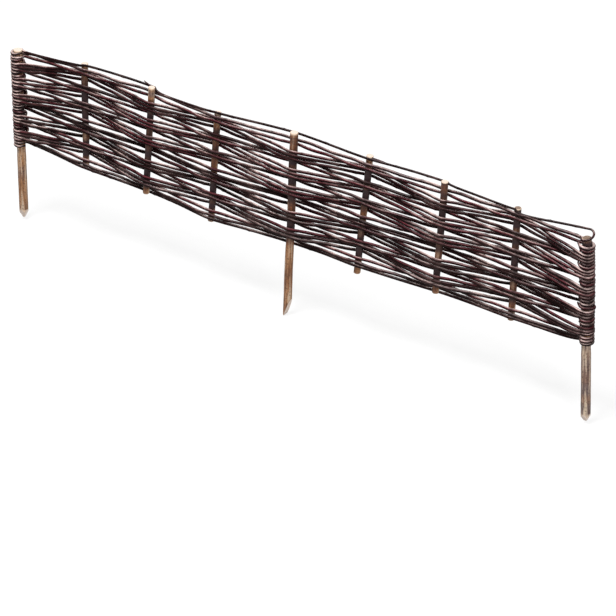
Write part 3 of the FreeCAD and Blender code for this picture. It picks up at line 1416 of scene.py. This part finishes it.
    def cut_flats(self, piece: bpy.types.Object) -> None:
        """Cut the flats of the stake's point through its skin, down to bare wood.

        Args:
            piece: the stake's object.
        """
        bm = bmesh.new()
        bm.from_mesh(piece.data)
        layer = bm.loops.layers.uv["UVMap"]
        for place, normal in self.flats:
            geometry = [*bm.verts, *bm.edges, *bm.faces]
            cut = bmesh.ops.bisect_plane(
                bm, geom=geometry, plane_co=place, plane_no=normal, clear_outer=True,
            )
            edges = [item for item in cut["geom_cut"] if isinstance(item, bmesh.types.BMEdge)]
            made = bmesh.ops.contextual_create(bm, geom=edges)
            for face in made["faces"]:
                lay_cut_face(face, layer, StickSlot.AXED)
        bmesh.ops.recalc_face_normals(bm, faces=bm.faces)
        bm.to_mesh(piece.data)
        bm.free()

    def build(self, materials: list[bpy.types.Material]) -> bpy.types.Object:
        """Make the stake.

        Args:
            materials: bark, fresh cut, old cut and axed wood.

        Returns:
            The finished stake on its node's place.
        """
        draw = random.Random(self.seed)
        drift = draw.uniform(*DRIFT_RANGE)
        knots = self.knots(draw)
        side = (Vector((1, 0, 0)) - self.axis * self.axis.x).normalized()
        up = side.cross(-self.axis)
        stick = StickMesh(self.sides)
        for depth in self.ring_depths():
            marks = bumps(knots, depth, self.knot_length, self.knot_spread, self.sides)
            held = smoothstep(0.0, self.end_run, depth)
            held *= smoothstep(0.0, self.end_run, self.length - depth)
            sway = row_noise(depth / self.wander_length, drift, NoiseRow.STAKE_SWAY)
            centre = self.top - self.axis * depth + side * (self.wander * held * sway)
            stick.add_ring(centre, side, up, self.radii_at(depth, drift, marks), depth, {
                "tone": [self.tone_at(depth, drift)] * self.sides,
                "bud": [self.knot_shade * mark for mark in marks],
                "peel": [self.peel_shade * self.peel_at(depth, drift)] * self.sides,
            })
        piece = stick.build(f"{self.node}_bark", materials)
        if self.flats:
            self.cut_flats(piece)
        if self.old_top:
            cuts = [face for face in piece.data.polygons if face.material_index == StickSlot.CUT]
            max(cuts, key=lambda face: face.center.z).material_index = StickSlot.OLD_CUT
        return dress(piece, self.node)


@dataclass
class StakeRow:
    """The nine stakes that carry the weave."""

    seed: int = 7
    seed_stride: int = 10
    bare_tones: dict[str, float] = field(default_factory=lambda: {
        "left_ground_stake": 0.72, "middle_ground_stake": 0.55, "right_ground_stake": 1.0,
    })
    upright_tone: float = 0.65
    # Painted shade of the stakes inside the weave
    shaded_woven_tone: float = 0.0
    old_tops: tuple[str, ...] = ("right_ground_stake", "upright_8")
    dark_tops: tuple[str, ...] = ("right_ground_stake", "upright_7", "upright_8")
    dark_peel: float = 3 * MM

    def build(self, materials: list[bpy.types.Material]) -> list[bpy.types.Object]:
        """Make every stake.

        Args:
            materials: bark, fresh cut, old cut and axed wood.

        Returns:
            The stakes' objects.
        """
        names = sorted(name for name in frame["nodes"] if not name.startswith("course_"))
        made = []
        for number, name in enumerate(names):
            stake = Stake(
                node=name,
                seed=self.seed * self.seed_stride + number,
                foot=StakeFoot.POINTED if name.endswith("ground_stake") else StakeFoot.SAWN,
                bare_tone=self.bare_tones.get(name, self.upright_tone),
                shaded_woven_tone=self.shaded_woven_tone,
                old_top=name in self.old_tops,
            )
            if name in self.dark_tops:
                stake.top_tone = 0.0
                stake.peel_length = self.dark_peel
            made.append(stake.build(materials))
        return made


@dataclass(frozen=True)
class Softbox:
    """One square soft lamp that faces the hurdle."""

    name: str
    place: tuple[float, float, float]
    watts: float
    size: float = 1.6

    def build(self) -> None:
        """Hang the lamp."""
        lamp = bpy.data.lights.new(self.name, "AREA")
        lamp.size = self.size
        lamp.energy = self.watts
        hung = bpy.data.objects.new(self.name, lamp)
        hung.location = self.place
        hung.rotation_euler = (-Vector(self.place)).to_track_quat("-Z", "Y").to_euler()
        bpy.context.scene.collection.objects.link(hung)


@dataclass
class Studio:
    """The pale floor, the soft lamps and the camera at the photograph's viewing angle."""

    azimuth: float = math.radians(33.715)
    elevation: float = math.radians(32.625)
    distance: float = 5.416
    target: tuple[float, float, float] = (0.0378, 0.0, -0.1104)
    focal_pixels: float = 3121.5
    frame_pixels: float = 616.0
    sensor_mm: float = 36.0
    clip_end: float = 100.0
    floor_size: float = 40.0
    sky_colour: str = "#ffffff"
    sky: float = 0.16
    lamps: tuple[Softbox, ...] = (
        Softbox("overhead_softbox", (-0.3, -1.4, 4.5), 230.0),
        Softbox("side_softbox", (4.1, -2.5, 2.8), 130.0),
        Softbox("rear_softbox", (-2.2, 3.2, 2.6), 80.0),
    )

    def build(self) -> None:
        """Set up the floor, the light and the camera."""
        self.add_floor()
        self.add_world()
        for lamp in self.lamps:
            lamp.build()
        self.add_camera()
        bpy.context.scene.view_settings.view_transform = "Standard"

    def add_floor(self) -> None:
        """Lay the floor under the stakes' points."""
        half = self.floor_size / 2
        level = CAD_BOX[0].z
        mesh = bpy.data.meshes.new("studio_floor")
        corners = [(-half, -half), (half, -half), (half, half), (-half, half)]
        mesh.from_pydata([(x, y, level) for x, y in corners], [], [(0, 1, 2, 3)])
        mesh.materials.append(PaleStudioFloor().build())
        floor = bpy.data.objects.new("studio_floor", mesh)
        bpy.context.scene.collection.objects.link(floor)

    def add_world(self) -> None:
        """Light the studio evenly from all round."""
        world = bpy.data.worlds.new("studio_sky")
        world.use_nodes = True
        background = world.node_tree.nodes["Background"]
        background.inputs["Color"].default_value = linear(self.sky_colour)
        background.inputs["Strength"].default_value = self.sky
        bpy.context.scene.world = world

    def add_camera(self) -> None:
        """Stand the camera where the photograph was taken from."""
        camera = bpy.data.cameras.new("photo_camera")
        camera.sensor_width = self.sensor_mm
        camera.lens = self.sensor_mm * self.focal_pixels / self.frame_pixels
        camera.clip_end = self.clip_end
        back = Vector((
            math.sin(self.azimuth) * math.cos(self.elevation),
            -math.cos(self.azimuth) * math.cos(self.elevation),
            math.sin(self.elevation),
        ))
        stand = bpy.data.objects.new("photo_camera", camera)
        stand.location = Vector(self.target) + back * self.distance
        stand.rotation_euler = (-back).to_track_quat("-Z", "Y").to_euler()
        bpy.context.scene.collection.objects.link(stand)
        bpy.context.scene.camera = stand


def main() -> None:
    """Build the studio, the stakes and the weave."""
    logging.basicConfig(level=logging.INFO, format="%(name)s %(message)s")
    Studio().build()
    fresh = CutWillow().build()
    weathered = CutWillow.weathered().build()
    axed = CutWillow.axed().build()
    stakes = StakeRow().build([WeatheredStakeBark().build(), fresh, weathered, axed])
    woven = Weave().build([DriedWillowBark().build(), weathered])
    LOG.info("%d stakes and %d rods and shoots", len(stakes), len(woven))
    bpy.context.view_layer.update()


if __name__ == "__main__":
    main()
